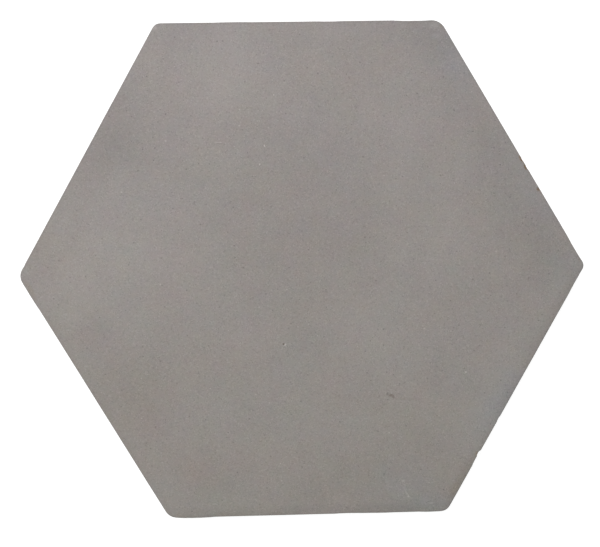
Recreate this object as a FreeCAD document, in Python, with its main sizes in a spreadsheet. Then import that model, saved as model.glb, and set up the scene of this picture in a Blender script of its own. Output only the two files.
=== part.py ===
"""Hexagonal floor tile of pressed cement: one solid piece, lying face up.

Frame: the origin is the middle of the bedding side, +Z points up to the face that is walked on,
+X points to a corner and +Y to the middle of a side. All sizes are in millimetres.

The tile is pressed in a hexagonal steel frame. The frame gives it rounded corners, and sides that
lean in towards the bedding side, so that tiles can be laid with a thin joint. The plate that
closes the press is milled with crossing grooves. It prints a field of shallow cells between ribs
on the bedding side, which keys the tile to its mortar.
"""

import FreeCAD
import Part
import Sketcher

import os

SHEET = "Dimensions"
PARTS_FOLDER = "parts"
HEXAGON_SIDES = 6
NEAR = 1e-4

# Alias, value in millimetres, degrees or a count, and what it is.
DIMENSIONS = (
    ("across_flats", 200.0, "the face, from one side to the opposite side"),
    ("thickness", 16.0, "from the bedding side to the face"),
    ("corner_radius", 3.5, "upright corners, as the steel frame rounds them before any wear"),
    ("side_taper", 1.5, "lean of each side, in degrees"),
    ("face_arris_radius", 0.6, "softened edge round the face"),
    ("back_arris_bevel", 0.8, "bevel round the bedding side"),
    ("key_rows", 4, "rows of cells from the middle to a side"),
    ("key_pitch", 22.0, "from one rib to the next"),
    ("key_rib", 4.0, "width of a rib where it meets the mortar bed"),
    ("key_depth", 1.5, "depth of a cell"),
    ("key_draft", 30.0, "slope of a cell's walls, in degrees from upright"),
)

# The key's field ends with whole rows of cells along the two sides that face Y.
FIELD_FLATS = f"2 * {SHEET}.key_rows * {SHEET}.key_pitch - {SHEET}.key_rib"
FIELD_HALF_CORNERS = f"({FIELD_FLATS}) / sqrt(3)"
WALL_RUN = f"{SHEET}.key_depth * tan({SHEET}.key_draft * 1 deg)"


def make_sheet(doc):
    """Writes the driving dimensions to a spreadsheet, with an alias on each value."""
    sheet = doc.addObject("Spreadsheet::Sheet", SHEET)
    for row, (alias, value, note) in enumerate(DIMENSIONS, start=1):
        sheet.set(f"A{row}", alias)
        sheet.set(f"B{row}", str(value))
        sheet.set(f"C{row}", note)
        sheet.setAlias(f"B{row}", alias)
    doc.recompute()
    return sheet


def origin_feature(body, role):
    """Finds one of the body's own origin planes or axes by its role."""
    for feature in body.Origin.OriginFeatures:
        if feature.Role == role:
            return feature
    raise LookupError(role)


def attach_sketch(body, name, plane):
    """Adds a sketch on one of the body's origin planes."""
    sketch = body.newObject("Sketcher::SketchObject", name)
    sketch.AttachmentSupport = [(origin_feature(body, plane), "")]
    sketch.MapMode = "FlatFace"
    return sketch


def draw_loop(sketch, points):
    """Draws straight lines round the points, joins them up, and returns the lines in order."""
    lines = []
    for start, end in zip(points, points[1:] + points[:1]):
        lines.append(sketch.addGeometry(Part.LineSegment(start, end)))
    for line, following in zip(lines, lines[1:] + lines[:1]):
        sketch.addConstraint(Sketcher.Constraint("Coincident", line, 2, following, 1))
    return lines


def bind(sketch, constraint, expression):
    """Adds a dimension to the sketch and ties it to the spreadsheet."""
    number = sketch.addConstraint(constraint)
    sketch.setExpression(f"Constraints[{number}]", expression)


def draw_hexagon(sketch, expression, first_guess):
    """Draws a regular hexagon round the origin, with a corner on the sketch's X axis.

    Its corners lie on a construction circle, and the distance between opposite sides is the
    expression. The first guess is about that distance, for the lines as they are first drawn.
    """
    centre = FreeCAD.Vector(0, 0, 0)
    upright = FreeCAD.Vector(0, 0, 1)
    corner = FreeCAD.Vector(first_guess / 3**0.5, 0, 0)
    turn = FreeCAD.Rotation(upright, 360 / HEXAGON_SIDES)
    corners = [corner]
    while len(corners) < HEXAGON_SIDES:
        corners.append(turn.multVec(corners[-1]))

    circle = sketch.addGeometry(Part.Circle(centre, upright, corner.Length), True)
    sketch.addConstraint(Sketcher.Constraint("Coincident", circle, 3, -1, 1))
    sides = draw_loop(sketch, corners)
    for side in sides:
        sketch.addConstraint(Sketcher.Constraint("PointOnObject", side, 1, circle))
    for side in sides[1:]:
        sketch.addConstraint(Sketcher.Constraint("Equal", sides[0], side))
    sketch.addConstraint(Sketcher.Constraint("PointOnObject", sides[0], 1, -1))
    upper, lower = sides[1], sides[4]
    bind(sketch, Sketcher.Constraint("Distance", upper, 1, lower, first_guess), expression)


def lean_sides(doc, body, name, block, kept_height, angle):
    """Leans the upright sides of a block inwards, and keeps its outline at one height."""
    kept, sides = [], []
    for number, face in enumerate(block.Shape.Faces, start=1):
        if face.BoundBox.ZLength > NEAR:
            sides.append(f"Face{number}")
        elif abs(face.CenterOfMass.z - kept_height) < NEAR:
            kept.append(f"Face{number}")
    leant = body.newObject("PartDesign::Draft", name)
    leant.Base = (block, sides)
    leant.NeutralPlane = (block, kept)
    leant.setExpression("Angle", angle)
    doc.recompute()
    if leant.Shape.Volume > block.Shape.Volume:
        leant.Reversed = True
        doc.recompute()
    return leant


def draw_groove(sketch, sheet):
    """Draws a groove's section: narrow where it starts, and wider towards the cells' floors."""
    half_rib = sheet.key_rib / 2
    wall = FreeCAD.Vector(1, sheet.key_depth, 0)
    left, right = FreeCAD.Vector(-half_rib, 0, 0), FreeCAD.Vector(half_rib, 0, 0)
    far_left = FreeCAD.Vector(left.x - wall.x, wall.y, 0)
    narrow, slope, wide, _ = draw_loop(sketch, [left, right, right + wall, far_left])
    sketch.addConstraint(Sketcher.Constraint("Symmetric", narrow, 1, narrow, 2, -1, 1))
    sketch.addConstraint(Sketcher.Constraint("Horizontal", narrow))
    sketch.addConstraint(Sketcher.Constraint("Symmetric", wide, 1, wide, 2, -2))
    bind(sketch, Sketcher.Constraint("Distance", narrow, sheet.key_rib), f"{SHEET}.key_rib")
    bind(sketch, Sketcher.Constraint("DistanceY", slope, 1, slope, 2, wall.y), f"{SHEET}.key_depth")
    bind(sketch, Sketcher.Constraint("DistanceX", slope, 1, slope, 2, wall.x), WALL_RUN)


def mill_grooves(doc, body, sheet, name, plane, axis, each_side):
    """Mills a row of grooves right across the field: one in the middle, and more on each side.

    The groove's section is drawn on the plane, and the row runs along the axis. each_side is an
    expression for how many grooves lie on each side of the middle one.
    """
    section = attach_sketch(body, f"{name}Section", plane)
    section.setExpression(".AttachmentOffset.Base.x", f"-({each_side}) * {SHEET}.key_pitch")
    draw_groove(section, sheet)
    groove = body.newObject("PartDesign::Pocket", f"{name}First")
    groove.Profile = section
    groove.Type = "ThroughAll"
    groove.SideType = "Symmetric"
    doc.recompute()

    row = body.newObject("PartDesign::LinearPattern", name)
    row.Originals = [groove]
    row.Direction = (origin_feature(body, axis), [""])
    row.Mode = "Spacing"
    row.setExpression("Offset", f"{SHEET}.key_pitch")
    row.setExpression("Occurrences", f"2 * ({each_side}) + 1")
    body.Tip = row
    doc.recompute()


def make_press_plate(doc, sheet):
    """Makes the raised pattern of the press's plate, which has the shape of the key's cells.

    It is a hexagonal field with sloping sides, milled both ways. Two grooves cross in the
    middle, so that two of the tile's ribs cross at the origin.
    """
    body = doc.addObject("PartDesign::Body", "PressPlate")
    outline = attach_sketch(body, "FieldOutline", "XY_Plane")
    rows_height = sheet.key_rows * sheet.key_pitch
    draw_hexagon(outline, FIELD_FLATS, 2 * rows_height - sheet.key_rib)
    block = body.newObject("PartDesign::Pad", "FieldBlock")
    block.Profile = outline
    block.setExpression("Length", f"{SHEET}.key_depth")
    doc.recompute()
    lean_sides(doc, body, "Field", block, 0, f"{SHEET}.key_draft")

    columns = f"floor({FIELD_HALF_CORNERS} / {SHEET}.key_pitch)"
    mill_grooves(doc, body, sheet, "GroovesAlongY", "XZ_Plane", "X_Axis", columns)
    rows = f"{SHEET}.key_rows - 1"
    mill_grooves(doc, body, sheet, "GroovesAlongX", "YZ_Plane", "Y_Axis", rows)
    return body


def edges_at(shape, height):
    """Names the edges that lie in the level plane at that height."""
    names = []
    for number, edge in enumerate(shape.Edges, start=1):
        box = edge.BoundBox
        if abs(box.ZMin - height) < NEAR and abs(box.ZMax - height) < NEAR:
            names.append(f"Edge{number}")
    return names


def climbing_edges(shape):
    """Names the edges that climb from the bedding side to the face."""
    names = []
    for number, edge in enumerate(shape.Edges, start=1):
        if edge.BoundBox.ZLength > NEAR:
            names.append(f"Edge{number}")
    return names


def make_tile(doc, sheet, press_plate):
    """Makes the tile: a tapered slab with rounded corners, softened arrises and a printed key."""
    body = doc.addObject("PartDesign::Body", "HexagonTile")
    body.Label = "hexagon_tile"
    outline = attach_sketch(body, "FaceOutline", "XY_Plane")
    outline.setExpression(".AttachmentOffset.Base.z", f"{SHEET}.thickness")
    draw_hexagon(outline, f"{SHEET}.across_flats", sheet.across_flats)
    block = body.newObject("PartDesign::Pad", "Block")
    block.Profile = outline
    block.Reversed = True
    block.setExpression("Length", f"{SHEET}.thickness")
    doc.recompute()
    slab = lean_sides(doc, body, "Slab", block, sheet.thickness, f"{SHEET}.side_taper")

    corners = body.newObject("PartDesign::Fillet", "FrameCorners")
    corners.Base = (slab, climbing_edges(slab.Shape))
    corners.setExpression("Radius", f"{SHEET}.corner_radius")
    doc.recompute()

    back_arris = body.newObject("PartDesign::Chamfer", "BackArris")
    back_arris.Base = (corners, edges_at(corners.Shape, 0))
    back_arris.setExpression("Size", f"{SHEET}.back_arris_bevel")
    doc.recompute()

    face_arris = body.newObject("PartDesign::Fillet", "FaceArris")
    face_arris.Base = (back_arris, edges_at(back_arris.Shape, sheet.thickness))
    face_arris.setExpression("Radius", f"{SHEET}.face_arris_radius")
    doc.recompute()

    key = body.newObject("PartDesign::Boolean", "PrintedKey")
    key.setObjects([press_plate])
    key.Type = "Cut"
    body.Tip = key
    doc.recompute()
    return body


def check_document(doc):
    """Stops if any object of the document failed."""
    for item in doc.Objects:
        if "Invalid" in item.State or "Error" in item.State:
            raise RuntimeError(f"{item.Name}: {item.State}")


def check_shape(name, shape):
    """Stops if a sub-part isn't one valid, closed solid."""
    if shape.isNull() or not shape.isValid():
        raise RuntimeError(f"{name}: the shape is null or not valid")
    if len(shape.Solids) != 1 or not shape.Solids[0].isClosed():
        raise RuntimeError(f"{name}: the shape isn't one closed solid")


def main():
    """Builds the document, checks it, and writes the tile as a STEP file."""
    doc = FreeCAD.newDocument("HexagonFloorTile")
    sheet = make_sheet(doc)
    press_plate = make_press_plate(doc, sheet)
    tile = make_tile(doc, sheet, press_plate)
    check_document(doc)
    check_shape(tile.Label, tile.Shape)

    os.makedirs(PARTS_FOLDER, exist_ok=True)
    tile.Shape.exportStep(os.path.join(PARTS_FOLDER, f"{tile.Label}.step"))
    box = tile.Shape.BoundBox
    print(f"{tile.Label}: {box.XLength:.2f} x {box.YLength:.2f} x {box.ZLength:.2f} mm")
    print(f"volume {tile.Shape.Volume / 1000:.1f} cm3, {len(tile.Shape.Faces)} faces")


main()
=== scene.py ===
"""Looks of a hexagonal floor tile of pressed cement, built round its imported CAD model.

The tile lies face up on a white floor, and the camera looks down on it. One closed mesh stands
for the CAD solid. It has a clouded face with pinholes and scuffs, an edge that is chipped and
stained in places, sides rubbed smooth by the steel frame it was pressed in, and a bedding side
printed with shallow cells. Lengths are in millimetres unless a comment says otherwise, and MM
turns them into Blender's metres.
"""

from __future__ import annotations

import logging
import math
import random
from collections.abc import Iterable
from dataclasses import dataclass, field
from enum import Enum
from typing import Any, Union

import bmesh
import bpy
from mathutils import Matrix, Vector, noise

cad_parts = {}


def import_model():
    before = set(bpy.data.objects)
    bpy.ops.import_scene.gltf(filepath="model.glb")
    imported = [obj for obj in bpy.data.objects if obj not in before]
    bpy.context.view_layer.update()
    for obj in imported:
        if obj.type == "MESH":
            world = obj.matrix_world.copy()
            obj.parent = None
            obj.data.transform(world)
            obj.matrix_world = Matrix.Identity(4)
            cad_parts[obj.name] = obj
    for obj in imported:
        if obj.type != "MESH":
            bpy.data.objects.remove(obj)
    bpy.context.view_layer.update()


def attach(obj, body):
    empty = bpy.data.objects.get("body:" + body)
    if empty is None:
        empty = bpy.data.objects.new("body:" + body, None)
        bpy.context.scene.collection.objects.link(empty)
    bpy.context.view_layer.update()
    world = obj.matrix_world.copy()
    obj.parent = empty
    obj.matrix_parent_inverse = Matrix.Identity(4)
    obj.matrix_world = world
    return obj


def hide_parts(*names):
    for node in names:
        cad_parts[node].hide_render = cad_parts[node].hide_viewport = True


LOG = logging.getLogger("hexagon_tile")
MM = 0.001
NODE = "hexagon_tile"
HEXAGON = 6
THICKNESS = 16.0
HALF_FLATS = 100.0
SHARP_REACH = HALF_FLATS / math.cos(math.pi / HEXAGON)
FROM_EDGE = "from_edge"
BEDDING = "bedding"
TONE_PARTS = ("lighter", "warmer", "greener")
NOISE_MEAN = (0.5, 0.5, 0.5)

# Points closer than this count as one.
SAME_PLACE = 0.02

# Two unit vectors whose dot product is over this point the same way.
SAME_WAY = 0.9

# What a node's input takes: another node's output, or the value itself.
Fed = Union[bpy.types.NodeSocket, float, tuple[float, ...]]


def unit(angle: float) -> Vector:
    """The flat unit vector at an angle in degrees, anticlockwise from +X."""
    turn = math.radians(angle)
    return Vector((math.cos(turn), math.sin(turn), 0))


def share(value: float) -> float:
    """The value, kept between 0 and 1."""
    return min(max(value, 0.0), 1.0)


def start_hexagon(bm: bmesh.types.BMesh, reach: float, fanned: bool) -> None:
    """Starts a flat hexagon round the origin, with one corner on +X.

    Args:
        bm: The mesh it is made in.
        reach: From the middle to a corner.
        fanned: Whether it is six triangles round a point in the middle, and not one face.
    """
    bmesh.ops.create_circle(
        bm, cap_ends=True, cap_tris=fanned, segments=HEXAGON, radius=reach * MM
    )
    upright = Matrix.Rotation(math.radians(30), 3, "Z")
    bmesh.ops.rotate(bm, matrix=upright, verts=bm.verts)


def finished(bm: bmesh.types.BMesh, name: str) -> bpy.types.Mesh:
    """Ends the work on a bmesh.

    Args:
        bm: The mesh at work, which is freed.
        name: The name of the mesh it turns into.

    Returns:
        The mesh in Blender's data.
    """
    mesh = bpy.data.meshes.new(name)
    bm.to_mesh(mesh)
    bm.free()
    return mesh


def shown(name: str, data: bpy.types.ID) -> bpy.types.Object:
    """Puts a mesh, a lamp or a camera in the scene, at the origin.

    Args:
        name: The object's name.
        data: What the object holds.

    Returns:
        The object.
    """
    made = bpy.data.objects.new(name, data)
    bpy.context.scene.collection.objects.link(made)
    return made


class Corner(Enum):
    """The hexagon's corners, by the direction of each from the middle, in degrees."""

    RIGHT = 0
    UPPER_RIGHT = 60
    UPPER_LEFT = 120
    LEFT = 180
    LOWER_LEFT = 240
    LOWER_RIGHT = 300


class Side(Enum):
    """The hexagon's sides, by the direction each one faces, in degrees."""

    UPPER_RIGHT = 30
    TOP = 90
    UPPER_LEFT = 150
    LOWER_LEFT = 210
    BOTTOM = 270
    LOWER_RIGHT = 330


@dataclass(frozen=True)
class WornCorner:
    """How far one hand-made corner strays from the model's sharp corner, and its radius."""

    corner: Corner
    inward: float
    sideways: float
    radius: float

    def tip(self) -> Vector:
        """Where the two sides beside this corner would meet."""
        out = unit(self.corner.value) * (SHARP_REACH - self.inward)
        return out + unit(self.corner.value + 90) * self.sideways


@dataclass(frozen=True)
class EdgeMark:
    """A chip or a swelling on the edge round the face.

    It sits on a side, at a distance from that side's middle, anticlockwise. A positive depth
    goes into the tile. It reaches down the side by its height.
    """

    side: Side
    place: float
    length: float
    depth: float
    height: float

    def spot(self) -> Vector:
        """The mark's middle, on the edge round the face."""
        flat = unit(self.side.value) * HALF_FLATS + unit(self.side.value + 90) * self.place
        return Vector((flat.x, flat.y, THICKNESS))


@dataclass(frozen=True)
class Pit:
    """A pinhole in the face, where an air bubble burst."""

    x: float
    y: float
    radius: float
    depth: float


@dataclass(frozen=True)
class Unevenness:
    """Slow noise over a level surface: its size, where it is read, and its fine detail."""

    size: float
    level: float
    smoothness: float
    finer: float
    layers: int = 3

    def at(self, here: Vector) -> float:
        """The noise above or below 0 at a point."""
        place = Vector((here.x, here.y, self.level)) / self.size
        return noise.fractal(place, self.smoothness, self.finer, self.layers)


WORN_CORNERS = (
    WornCorner(Corner.RIGHT, inward=0.96, sideways=-0.12, radius=3.2),
    WornCorner(Corner.UPPER_RIGHT, inward=0.85, sideways=0.67, radius=6.3),
    WornCorner(Corner.UPPER_LEFT, inward=0.32, sideways=-0.41, radius=3.7),
    WornCorner(Corner.LEFT, inward=1.00, sideways=-0.29, radius=5.0),
    WornCorner(Corner.LOWER_LEFT, inward=1.03, sideways=0.80, radius=5.4),
    WornCorner(Corner.LOWER_RIGHT, inward=0.68, sideways=-0.65, radius=4.3),
)

EDGE_MARKS = (
    EdgeMark(Side.LOWER_RIGHT, place=-30.8, length=3.0, depth=0.50, height=2.6),
    EdgeMark(Side.LOWER_RIGHT, place=-33.4, length=7.0, depth=0.22, height=2.0),
    EdgeMark(Side.LOWER_RIGHT, place=-14.5, length=3.4, depth=0.20, height=1.6),
    EdgeMark(Side.LOWER_RIGHT, place=50.0, length=12.0, depth=0.13, height=4.0),
    EdgeMark(Side.UPPER_RIGHT, place=-7.3, length=3.0, depth=0.20, height=1.4),
    EdgeMark(Side.UPPER_RIGHT, place=-11.0, length=3.2, depth=0.24, height=1.5),
    EdgeMark(Side.UPPER_RIGHT, place=-21.2, length=1.8, depth=0.12, height=1.0),
    EdgeMark(Side.UPPER_RIGHT, place=-49.5, length=11.0, depth=0.15, height=4.0),
    EdgeMark(Side.TOP, place=-46.0, length=16.0, depth=0.22, height=5.0),
    EdgeMark(Side.TOP, place=-12.5, length=9.0, depth=0.08, height=3.0),
    EdgeMark(Side.TOP, place=26.0, length=15.0, depth=-0.10, height=8.0),
    EdgeMark(Side.UPPER_LEFT, place=52.4, length=2.2, depth=0.22, height=1.2),
    EdgeMark(Side.LOWER_LEFT, place=-49.0, length=14.0, depth=-0.14, height=8.0),
    EdgeMark(Side.BOTTOM, place=-46.0, length=15.0, depth=-0.25, height=9.0),
    EdgeMark(Side.BOTTOM, place=16.5, length=11.0, depth=0.10, height=2.5),
    EdgeMark(Side.BOTTOM, place=30.0, length=9.0, depth=-0.07, height=5.0),
    EdgeMark(Side.BOTTOM, place=50.0, length=9.0, depth=-0.13, height=5.0),
)

NAMED_PITS = (
    Pit(x=-8.7, y=-29.5, radius=0.34, depth=0.55),
    Pit(x=-14.0, y=4.9, radius=0.30, depth=0.35),
    Pit(x=10.7, y=-56.1, radius=0.30, depth=0.35),
    Pit(x=57.5, y=28.5, radius=0.30, depth=0.30),
    Pit(x=22.7, y=-18.1, radius=0.30, depth=0.30),
    Pit(x=-8.8, y=-13.3, radius=0.28, depth=0.28),
    Pit(x=12.1, y=-65.2, radius=0.28, depth=0.28),
    Pit(x=9.6, y=-4.0, radius=0.28, depth=0.28),
    Pit(x=-5.5, y=-11.0, radius=0.28, depth=0.28),
    Pit(x=27.4, y=21.0, radius=0.28, depth=0.28),
    Pit(x=-10.6, y=-60.5, radius=0.28, depth=0.28),
    Pit(x=6.9, y=-41.3, radius=0.26, depth=0.26),
    Pit(x=-3.0, y=-90.3, radius=0.26, depth=0.26),
    Pit(x=27.2, y=-66.8, radius=0.26, depth=0.26),
    Pit(x=23.6, y=-13.7, radius=0.26, depth=0.26),
    Pit(x=42.9, y=26.8, radius=0.26, depth=0.26),
    Pit(x=-78.0, y=-21.3, radius=0.28, depth=0.28),
)


@dataclass
class BeddingKey:
    """The field of shallow cells that the press's plate prints on the bedding side."""

    rows: int = 4
    pitch: float = 22.0
    rib: float = 4.0
    depth: float = 1.5
    draft: float = 30.0
    floor_cuts: int = 6
    roughness: float = 0.09
    smooth_border: float = 3.0
    bare_level: float = -0.4
    grain: Unevenness = Unevenness(size=1 / 0.35, level=7.0, smoothness=0.7, finer=2.0)

    @property
    def wall_run(self) -> float:
        """How far a cell's sloping wall reaches inwards."""
        return self.depth * math.tan(math.radians(self.draft))

    @property
    def half_flats(self) -> float:
        """From the middle to the field's edge, square to a side."""
        return self.rows * self.pitch - self.rib / 2

    def build(self) -> bpy.types.Mesh:
        """Makes the field, facing down at the bedding level, with its cells pushed up.

        Returns:
            A mesh in metres with one open hexagonal border.
        """
        bm = bmesh.new()
        start_hexagon(bm, self.half_flats / math.cos(math.pi / HEXAGON), fanned=False)
        bmesh.ops.reverse_faces(bm, faces=bm.faces)
        for axis in (unit(0), unit(90)):
            for place in self._lines():
                self._cut(bm, axis, place)
        for side in Side:
            self._cut(bm, unit(side.value), self.half_flats - self.wall_run)
        for vert in bm.verts:
            vert.co.z = self._height(vert.co / MM) * MM
        return finished(bm, "bedding_key")

    def _lines(self) -> list[float]:
        """Lists the cuts along one axis: rib edges, wall feet and the floors between.

        Returns:
            Each cut's distance from the middle, on both sides of it.
        """
        foot = self.rib / 2 + self.wall_run
        span = self.pitch - 2 * foot
        within = [0.0, self.rib / 2]
        within += [foot + span * step / self.floor_cuts for step in range(self.floor_cuts + 1)]
        within.append(self.pitch - self.rib / 2)
        last = self.rows + 2
        return [row * self.pitch + place for row in range(-last, last) for place in within]

    def _cut(self, bm: bmesh.types.BMesh, facing: Vector, place: float) -> None:
        """Cuts all faces along one line.

        Args:
            bm: The field at work.
            facing: The flat direction square to the line.
            place: The line's distance from the middle in that direction.
        """
        geometry = [*bm.verts, *bm.edges, *bm.faces]
        bmesh.ops.bisect_plane(
            bm,
            geom=geometry,
            dist=SAME_PLACE * MM,
            plane_co=facing * place * MM,
            plane_no=facing,
        )

    def _height(self, here: Vector) -> float:
        """Works out how far the print rises above the bedding level.

        Args:
            here: A point of the field, in millimetres.

        Returns:
            The rise of the cell's floor or wall there, with the grain of its surface.
        """
        inside = self.half_flats - max(here.dot(unit(side.value)) for side in Side)
        clear = inside
        for value in (here.x, here.y):
            from_rib = abs((value + self.pitch / 2) % self.pitch - self.pitch / 2)
            clear = min(clear, from_rib - self.rib / 2)
        rise = self.depth * share(clear / self.wall_run)
        grain = max(self.grain.at(here) - self.bare_level, 0.0)
        return rise + self.roughness * share(inside / self.smooth_border) * grain


@dataclass
class PressedTile:
    """The tile's one mesh: face, softened edge, leaning sides and bedding side."""

    key: BeddingKey = field(default_factory=BeddingKey)
    face_cuts: int = 107
    side_taper: float = 1.5
    arris_radius: float = 0.6
    arris_steps: int = 4
    side_rows: int = 12
    back_bevel: float = 0.8
    corner_reach: float = 14.0
    relax_rounds: int = 24
    hollows: Unevenness = Unevenness(size=38.0, level=3.0, smoothness=0.9, finer=2.1)
    hollow_contrast: float = 0.6
    hollow_depth: float = 1.0
    undulation: float = 0.07
    waver: float = 0.06
    waver_reach: float = 8.0
    waver_length: float = 14.0
    waver_height: float = 30.0
    scattered_pits: int = 80
    pit_middle: tuple[float, float] = (8.0, -4.0)
    pit_spread: tuple[float, float] = (46.0, 42.0)
    pit_margin: float = 5.0
    smallest_pit: float = 0.16
    pit_growth: float = 0.20
    pit_floor: float = 0.45
    short_mark: float = 5.0
    finer_reach: float = 0.75
    finer_cuts: int = 2
    chip_roughness: float = 0.35
    chip_grain: float = 1.4
    chip_roundness: float = 0.6
    chip_drop: float = 0.5
    crease: float = 28.0
    crisp_below: float = 12.0
    seed: int = 20

    def build(self) -> bpy.types.Object:
        """Makes the tile's object.

        Returns:
            The object, in the scene, with its mesh in place in metres.
        """
        bm = bmesh.new()
        self._lay_face(bm)
        self._round_corners(bm)
        self._open_pits(bm)
        rim = self._draw_down(bm)
        self._close_bedding(bm, rim)
        self._refine_short_marks(bm)
        self._measure(bm)
        self._weather(bm)
        for mark in EDGE_MARKS:
            self._strike(bm, mark)
        self._shade_smooth(bm)
        return shown("pressed_tile", finished(bm, "pressed_tile"))

    def _lay_face(self, bm: bmesh.types.BMesh) -> None:
        """Lays the face as three rhombi that meet in the middle, cut into a fine even grid.

        Args:
            bm: The empty mesh.
        """
        start_hexagon(bm, SHARP_REACH, fanned=True)
        middle = min(bm.verts, key=lambda vert: vert.co.length)
        for worn in WORN_CORNERS:
            out = unit(worn.corner.value)
            vert = max(bm.verts, key=lambda vert: vert.co.dot(out))
            vert.co = worn.tip() * MM
        parted = (Corner.UPPER_RIGHT, Corner.LEFT, Corner.LOWER_RIGHT)
        spare = []
        for edge in middle.link_edges:
            out = (edge.other_vert(middle).co - middle.co).normalized()
            if all(out.dot(unit(corner.value)) < SAME_WAY for corner in parted):
                spare.append(edge)
        bmesh.ops.dissolve_edges(bm, edges=spare)
        bmesh.ops.subdivide_edges(bm, edges=bm.edges, cuts=self.face_cuts, use_grid_fill=True)
        bmesh.ops.translate(bm, vec=(0, 0, THICKNESS * MM), verts=bm.verts)

    def _round_corners(self, bm: bmesh.types.BMesh) -> None:
        """Bends the outline round each corner's arc, and evens out the grid inside it.

        Args:
            bm: The mesh, with the face laid.
        """
        border = {vert for vert in bm.verts if vert.is_boundary}
        nearby = set()
        for worn in WORN_CORNERS:
            tip = (worn.tip() + Vector((0, 0, THICKNESS))) * MM
            self._bend_onto_arc(border, tip, worn)
            for vert in bm.verts:
                if vert not in border and (vert.co - tip).length < self.corner_reach * MM:
                    nearby.add(vert)
        for _ in range(self.relax_rounds):
            bmesh.ops.smooth_vert(
                bm, verts=list(nearby), factor=0.5, use_axis_x=True, use_axis_y=True
            )

    def _bend_onto_arc(
        self, border: Iterable[bmesh.types.BMVert], tip: Vector, worn: WornCorner
    ) -> None:
        """Moves the border's points beside a sharp tip onto an arc tangent to both sides.

        Args:
            border: The points of the face's outline.
            tip: The sharp tip, in metres.
            worn: The corner, which gives the arc its radius.
        """
        out = unit(worn.corner.value)
        half_turn = math.pi / HEXAGON
        tangent = worn.radius * math.tan(half_turn) * MM
        centre = tip - out * worn.radius * MM / math.cos(half_turn)
        for vert in border:
            away = (vert.co - tip).length
            if away < tangent:
                aside = math.copysign(1.0, out.cross(vert.co - tip).z)
                spoke = Matrix.Rotation(aside * half_turn * away / tangent, 3, "Z") @ out
                vert.co = centre + spoke * worn.radius * MM

    def _open_pits(self, bm: bmesh.types.BMesh) -> None:
        """Opens round pinholes in the face: the named ones and a seeded scatter of small ones.

        Args:
            bm: The mesh, with the face laid and its corners round.
        """
        rng = random.Random(self.seed)
        facings = [unit(side.value) for side in Side]
        pits = list(NAMED_PITS)
        while len(pits) < len(NAMED_PITS) + self.scattered_pits:
            x, y = (rng.gauss(*way) for way in zip(self.pit_middle, self.pit_spread))
            radius = self.smallest_pit + self.pit_growth * rng.random() ** 2
            reach = max(Vector((x, y, 0)).dot(facing) for facing in facings)
            if reach < HALF_FLATS - self.pit_margin:
                pits.append(Pit(x, y, radius=radius, depth=radius))
        free = [vert for vert in bm.verts if not vert.is_boundary]
        for pit in pits:
            place = Vector((pit.x, pit.y, THICKNESS)) * MM
            vert = min(free, key=lambda vert: (vert.co - place).length_squared)
            neighbours = {edge.other_vert(vert) for edge in vert.link_edges}
            self._open_pit(bm, vert, pit)
            free = [other for other in free if other.is_valid and other not in neighbours]

    def _open_pit(self, bm: bmesh.types.BMesh, vert: bmesh.types.BMVert, pit: Pit) -> None:
        """Turns one point of the grid into a round hole with a sunken floor.

        Args:
            bm: The mesh.
            vert: The point.
            pit: The hole's radius and depth.
        """
        cut = bmesh.ops.bevel(
            bm,
            geom=[vert],
            offset=pit.radius * MM,
            offset_type="OFFSET",
            segments=2,
            profile=0.5,
            affect="VERTICES",
            material=-1,
        )
        mouth = max(cut["faces"], key=lambda face: len(face.verts))
        bmesh.ops.inset_individual(
            bm, faces=[mouth], thickness=pit.radius * self.pit_floor * MM, depth=0.0
        )
        bmesh.ops.translate(bm, vec=(0, 0, -pit.depth * MM), verts=mouth.verts)

    def _draw_down(self, bm: bmesh.types.BMesh) -> list[bmesh.types.BMEdge]:
        """Draws the outline down from the face, round the edge, down the side and in at the back.

        Args:
            bm: The mesh, with the face finished.

        Returns:
            The open loop of edges at the bedding level.
        """
        shrink = 1 - self.arris_radius / HALF_FLATS
        bmesh.ops.scale(bm, vec=(shrink, shrink, 1), verts=bm.verts)
        loop = [edge for edge in bm.edges if edge.is_boundary]
        inset_now, height_now = self.arris_radius, THICKNESS
        for inset, height in self._section():
            grown = bmesh.ops.extrude_edge_only(bm, edges=loop)["geom"]
            verts = [item for item in grown if isinstance(item, bmesh.types.BMVert)]
            loop = [item for item in grown if isinstance(item, bmesh.types.BMEdge)]
            loop = [edge for edge in loop if edge.is_boundary]
            scale = (HALF_FLATS - inset) / (HALF_FLATS - inset_now)
            bmesh.ops.scale(bm, vec=(scale, scale, 1), verts=verts)
            bmesh.ops.translate(bm, vec=(0, 0, (height - height_now) * MM), verts=verts)
            inset_now, height_now = inset, height
        return loop

    def _section(self) -> list[tuple[float, float]]:
        """Works out the side's section below the face's rim.

        Returns:
            The steps down it, each with its inset and its height.
        """
        lean = math.tan(math.radians(self.side_taper))
        steps = []
        for step in range(1, self.arris_steps + 1):
            turn = math.pi / 2 * step / self.arris_steps
            inset = self.arris_radius * (1 - math.sin(turn))
            steps.append((inset, THICKNESS - self.arris_radius * (1 - math.cos(turn))))
        top = THICKNESS - self.arris_radius
        for row in range(1, self.side_rows + 1):
            height = top + (self.back_bevel - top) * row / self.side_rows
            steps.append(((top - height) * lean, height))
        steps.append((steps[-1][0] + self.back_bevel, 0.0))
        return steps

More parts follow.
